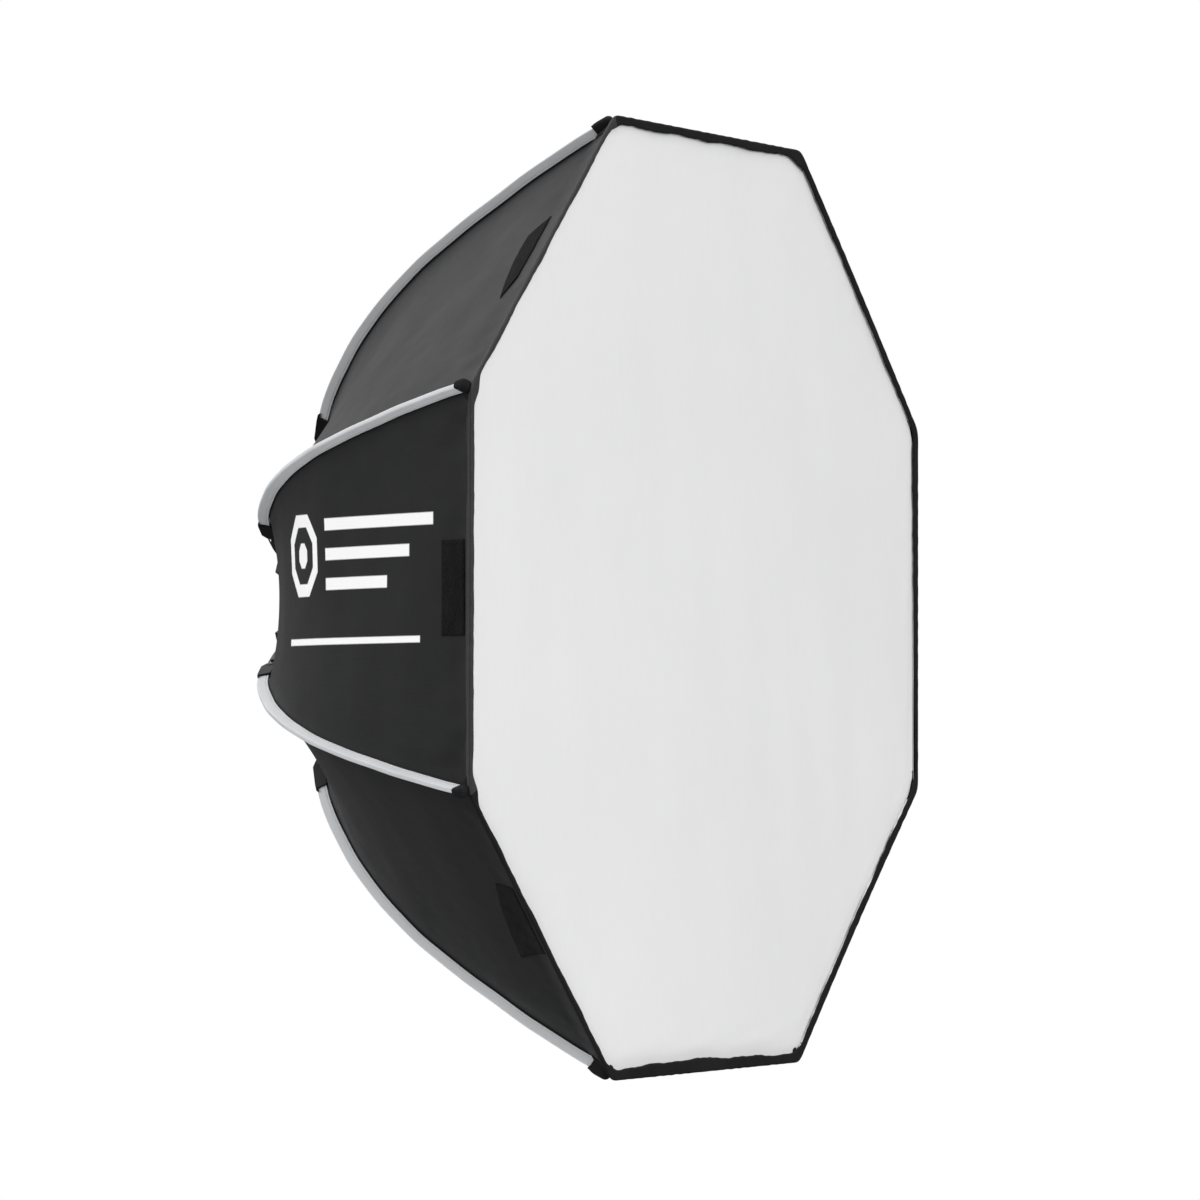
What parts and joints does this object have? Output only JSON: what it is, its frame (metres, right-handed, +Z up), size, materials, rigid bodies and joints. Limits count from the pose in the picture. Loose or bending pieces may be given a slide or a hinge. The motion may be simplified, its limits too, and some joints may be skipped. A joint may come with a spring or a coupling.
{
  "type": "studio softbox",
  "caption": "Octagonal folding studio softbox: eight bent ribs on a hub with a three-lug lamp mount, black cover, white front diffuser.",
  "frame": {"origin": "centre of the rear seat face of the lamp mount ring, on the optical axis", "axes": "+X along the optical axis towards the front diffuser, +Z up, +Y completes a right-handed frame; the rim's flats face +Y, -Y, +Z and -Z"},
  "size_m": [0.42, 0.8318, 0.8318],
  "materials": {
    "mount_metal": "satin",
    "black_plastic": "fine texture",
    "black_paint": "satin black",
    "zinc_steel": "zinc plated",
    "wire_steel": "drawn wire",
    "rib_grey": "satin anodised",
    "socket_black": "moulded",
    "black_cover": "satin laminate",
    "loop_black": "napped loop",
    "white_diffuser": "plain weave"
  },
  "bodies": {
    "hub": {"bayonet_ring": "mount_metal", "hub_shell": "black_plastic", "hub_front_ring": "black_plastic", "hub_screws": "zinc_steel", "hub_arms": "black_paint", "hinge_pins": "zinc_steel", "draw_wires": "wire_steel", "rear_collar": "black_cover"},
    "draw_ring": {"draw_ring": "zinc_steel"},
    "rib_1": {"rib_1": "rib_grey", "rib_socket_1": "socket_black"},
    "gather_1_a": {"cover_1_a": "black_cover", "loop_patch_1": "loop_black"},
    "gather_1_b": {"cover_1_b": "black_cover"},
    "diffuser_1": {"diffuser_1": "white_diffuser"},
    "rib_2": {"rib_2": "rib_grey", "rib_socket_2": "socket_black"},
    "gather_2_a": {"cover_2_a": "black_cover", "loop_patch_2": "loop_black"},
    "gather_2_b": {"cover_2_b": "black_cover"},
    "diffuser_2": {"diffuser_2": "white_diffuser"},
    "rib_3": {"rib_3": "rib_grey", "rib_socket_3": "socket_black"},
    "gather_3_a": {"cover_3_a": "black_cover", "loop_patch_3": "loop_black"},
    "gather_3_b": {"cover_3_b": "black_cover"},
    "diffuser_3": {"diffuser_3": "white_diffuser"},
    "rib_4": {"rib_4": "rib_grey", "rib_socket_4": "socket_black"},
    "gather_4_a": {"cover_4_a": "black_cover", "loop_patch_4": "loop_black"},
    "gather_4_b": {"cover_4_b": "black_cover"},
    "diffuser_4": {"diffuser_4": "white_diffuser"},
    "rib_5": {"rib_5": "rib_grey", "rib_socket_5": "socket_black"},
    "gather_5_a": {"cover_5_a": "black_cover", "loop_patch_5": "loop_black"},
    "gather_5_b": {"cover_5_b": "black_cover"},
    "diffuser_5": {"diffuser_5": "white_diffuser"},
    "rib_6": {"rib_6": "rib_grey", "rib_socket_6": "socket_black"},
    "gather_6_a": {"cover_6_a": "black_cover", "loop_patch_6": "loop_black"},
    "gather_6_b": {"cover_6_b": "black_cover"},
    "diffuser_6": {"diffuser_6": "white_diffuser"},
    "rib_7": {"rib_7": "rib_grey", "rib_socket_7": "socket_black"},
    "gather_7_a": {"cover_7_a": "black_cover", "loop_patch_7": "loop_black"},
    "gather_7_b": {"cover_7_b": "black_cover"},
    "diffuser_7": {"diffuser_7": "white_diffuser"},
    "rib_8": {"rib_8": "rib_grey", "rib_socket_8": "socket_black"},
    "gather_8_a": {"cover_8_a": "black_cover", "loop_patch_8": "loop_black"},
    "gather_8_b": {"cover_8_b": "black_cover"},
    "diffuser_8": {"diffuser_8": "white_diffuser"}
  },
  "joints": [
    {"name": "fold", "type": "hinge", "parent": "hub", "child": "rib_1", "pos_m": [0.039, 0.14782, 0.06123], "axis": [0, 0.3827, -0.9239], "range_deg": [0, 52.5], "deforming": ["cover_1_a", "cover_1_b", "loop_patch_1", "diffuser_1", "cover_2_a", "cover_2_b", "loop_patch_2", "diffuser_2", "cover_3_a", "cover_3_b", "loop_patch_3", "diffuser_3", "cover_4_a", "cover_4_b", "loop_patch_4", "diffuser_4", "cover_5_a", "cover_5_b", "loop_patch_5", "diffuser_5", "cover_6_a", "cover_6_b", "loop_patch_6", "diffuser_6", "cover_7_a", "cover_7_b", "loop_patch_7", "diffuser_7", "cover_8_a", "cover_8_b", "loop_patch_8", "diffuser_8", "draw_wires", "rear_collar"]},
    {"name": "gather_1_a", "type": "slide", "parent": "rib_1", "child": "gather_1_a", "axis": [-0.3076, 0.4839, -0.8193], "range_m": [0, 0.1481]},
    {"name": "gather_1_b", "type": "slide", "parent": "rib_1", "child": "gather_1_b", "axis": [-0.3076, -0.2372, 0.9215], "range_m": [0, 0.1481]},
    {"name": "diffuser_turn_1", "type": "hinge", "parent": "rib_1", "child": "diffuser_1", "pos_m": [0.4084, 0.39357, 0.16302], "axis": [0, 0.3827, -0.9239], "range_deg": [0, 34.12]},
    {"name": "fold_2", "type": "hinge", "parent": "hub", "child": "rib_2", "pos_m": [0.039, 0.06123, 0.14782], "axis": [0, 0.9239, -0.3827], "range_deg": [0, 52.7]},
    {"name": "gather_2_a", "type": "slide", "parent": "rib_2", "child": "gather_2_a", "axis": [-0.3076, 0.9215, -0.2372], "range_m": [0, 0.1481]},
    {"name": "gather_2_b", "type": "slide", "parent": "rib_2", "child": "gather_2_b", "axis": [-0.3076, -0.8193, 0.4839], "range_m": [0, 0.1481]},
    {"name": "diffuser_turn_2", "type": "hinge", "parent": "rib_2", "child": "diffuser_2", "pos_m": [0.4084, 0.16302, 0.39357], "axis": [0, 0.9239, -0.3827], "range_deg": [0, 34.12]},
    {"name": "fold_3", "type": "hinge", "parent": "hub", "child": "rib_3", "pos_m": [0.039, -0.06123, 0.14782], "axis": [0, 0.9239, 0.3827], "range_deg": [0, 52.7]},
    {"name": "gather_3_a", "type": "slide", "parent": "rib_3", "child": "gather_3_a", "axis": [-0.3076, 0.8193, 0.4839], "range_m": [0, 0.1481]},
    {"name": "gather_3_b", "type": "slide", "parent": "rib_3", "child": "gather_3_b", "axis": [-0.3076, -0.9215, -0.2372], "range_m": [0, 0.1481]},
    {"name": "diffuser_turn_3", "type": "hinge", "parent": "rib_3", "child": "diffuser_3", "pos_m": [0.4084, -0.16302, 0.39357], "axis": [0, 0.9239, 0.3827], "range_deg": [0, 34.12]},
    {"name": "fold_4", "type": "hinge", "parent": "hub", "child": "rib_4", "pos_m": [0.039, -0.14782, 0.06123], "axis": [0, 0.3827, 0.9239], "range_deg": [0, 52.7]},
    {"name": "gather_4_a", "type": "slide", "parent": "rib_4", "child": "gather_4_a", "axis": [-0.3076, 0.2372, 0.9215], "range_m": [0, 0.1481]},
    {"name": "gather_4_b", "type": "slide", "parent": "rib_4", "child": "gather_4_b", "axis": [-0.3076, -0.4839, -0.8193], "range_m": [0, 0.1481]},
    {"name": "diffuser_turn_4", "type": "hinge", "parent": "rib_4", "child": "diffuser_4", "pos_m": [0.4084, -0.39357, 0.16302], "axis": [0, 0.3827, 0.9239], "range_deg": [0, 34.12]},
    {"name": "fold_5", "type": "hinge", "parent": "hub", "child": "rib_5", "pos_m": [0.039, -0.14782, -0.06123], "axis": [0, -0.3827, 0.9239], "range_deg": [0, 52.7]},
    {"name": "gather_5_a", "type": "slide", "parent": "rib_5", "child": "gather_5_a", "axis": [-0.3076, -0.4839, 0.8193], "range_m": [0, 0.1481]},
    {"name": "gather_5_b", "type": "slide", "parent": "rib_5", "child": "gather_5_b", "axis": [-0.3076, 0.2372, -0.9215], "range_m": [0, 0.1481]},
    {"name": "diffuser_turn_5", "type": "hinge", "parent": "rib_5", "child": "diffuser_5", "pos_m": [0.4084, -0.39357, -0.16302], "axis": [0, -0.3827, 0.9239], "range_deg": [0, 34.12]},
    {"name": "fold_6", "type": "hinge", "parent": "hub", "child": "rib_6", "pos_m": [0.039, -0.06123, -0.14782], "axis": [0, -0.9239, 0.3827], "range_deg": [0, 52.7]},
    {"name": "gather_6_a", "type": "slide", "parent": "rib_6", "child": "gather_6_a", "axis": [-0.3076, -0.9215, 0.2372], "range_m": [0, 0.1481]},
    {"name": "gather_6_b", "type": "slide", "parent": "rib_6", "child": "gather_6_b", "axis": [-0.3076, 0.8193, -0.4839], "range_m": [0, 0.1481]},
    {"name": "diffuser_turn_6", "type": "hinge", "parent": "rib_6", "child": "diffuser_6", "pos_m": [0.4084, -0.16302, -0.39357], "axis": [0, -0.9239, 0.3827], "range_deg": [0, 34.12]},
    {"name": "fold_7", "type": "hinge", "parent": "hub", "child": "rib_7", "pos_m": [0.039, 0.06123, -0.14782], "axis": [0, -0.9239, -0.3827], "range_deg": [0, 52.7]},
    {"name": "gather_7_a", "type": "slide", "parent": "rib_7", "child": "gather_7_a", "axis": [-0.3076, -0.8193, -0.4839], "range_m": [0, 0.1481]},
    {"name": "gather_7_b", "type": "slide", "parent": "rib_7", "child": "gather_7_b", "axis": [-0.3076, 0.9215, 0.2372], "range_m": [0, 0.1481]},
    {"name": "diffuser_turn_7", "type": "hinge", "parent": "rib_7", "child": "diffuser_7", "pos_m": [0.4084, 0.16302, -0.39357], "axis": [0, -0.9239, -0.3827], "range_deg": [0, 34.12]},
    {"name": "fold_8", "type": "hinge", "parent": "hub", "child": "rib_8", "pos_m": [0.039, 0.14782, -0.06123], "axis": [0, -0.3827, -0.9239], "range_deg": [0, 52.7]},
    {"name": "gather_8_a", "type": "slide", "parent": "rib_8", "child": "gather_8_a", "axis": [-0.3076, -0.2372, -0.9215], "range_m": [0, 0.1481]},
    {"name": "gather_8_b", "type": "slide", "parent": "rib_8", "child": "gather_8_b", "axis": [-0.3076, 0.4839, 0.8193], "range_m": [0, 0.1481]},
    {"name": "diffuser_turn_8", "type": "hinge", "parent": "rib_8", "child": "diffuser_8", "pos_m": [0.4084, 0.39357, -0.16302], "axis": [0, -0.3827, -0.9239], "range_deg": [0, 34.12]},
    {"name": "draw", "type": "slide", "parent": "hub", "child": "draw_ring", "axis": [1, 0, 0], "range_m": [-0.0115, 0]}
  ],
  "couplings": [
    {"joint": "gather_1_a", "follows": "fold", "m_per_rad": 0.16102},
    {"joint": "gather_1_b", "follows": "fold", "m_per_rad": 0.16102},
    {"joint": "diffuser_turn_1", "follows": "fold", "ratio": 0.64413},
    {"joint": "fold_2", "follows": "fold", "ratio": 1},
    {"joint": "gather_2_a", "follows": "fold", "m_per_rad": 0.16102},
    {"joint": "gather_2_b", "follows": "fold", "m_per_rad": 0.16102},
    {"joint": "diffuser_turn_2", "follows": "fold", "ratio": 0.64413},
    {"joint": "fold_3", "follows": "fold", "ratio": 1},
    {"joint": "gather_3_a", "follows": "fold", "m_per_rad": 0.16102},
    {"joint": "gather_3_b", "follows": "fold", "m_per_rad": 0.16102},
    {"joint": "diffuser_turn_3", "follows": "fold", "ratio": 0.64413},
    {"joint": "fold_4", "follows": "fold", "ratio": 1},
    {"joint": "gather_4_a", "follows": "fold", "m_per_rad": 0.16102},
    {"joint": "gather_4_b", "follows": "fold", "m_per_rad": 0.16102},
    {"joint": "diffuser_turn_4", "follows": "fold", "ratio": 0.64413},
    {"joint": "fold_5", "follows": "fold", "ratio": 1},
    {"joint": "gather_5_a", "follows": "fold", "m_per_rad": 0.16102},
    {"joint": "gather_5_b", "follows": "fold", "m_per_rad": 0.16102},
    {"joint": "diffuser_turn_5", "follows": "fold", "ratio": 0.64413},
    {"joint": "fold_6", "follows": "fold", "ratio": 1},
    {"joint": "gather_6_a", "follows": "fold", "m_per_rad": 0.16102},
    {"joint": "gather_6_b", "follows": "fold", "m_per_rad": 0.16102},
    {"joint": "diffuser_turn_6", "follows": "fold", "ratio": 0.64413},
    {"joint": "fold_7", "follows": "fold", "ratio": 1},
    {"joint": "gather_7_a", "follows": "fold", "m_per_rad": 0.16102},
    {"joint": "gather_7_b", "follows": "fold", "m_per_rad": 0.16102},
    {"joint": "diffuser_turn_7", "follows": "fold", "ratio": 0.64413},
    {"joint": "fold_8", "follows": "fold", "ratio": 1},
    {"joint": "gather_8_a", "follows": "fold", "m_per_rad": 0.16102},
    {"joint": "gather_8_b", "follows": "fold", "m_per_rad": 0.16102},
    {"joint": "diffuser_turn_8", "follows": "fold", "ratio": 0.64413},
    {"joint": "draw", "follows": "fold", "m_per_rad": -0.012005}
  ]
}
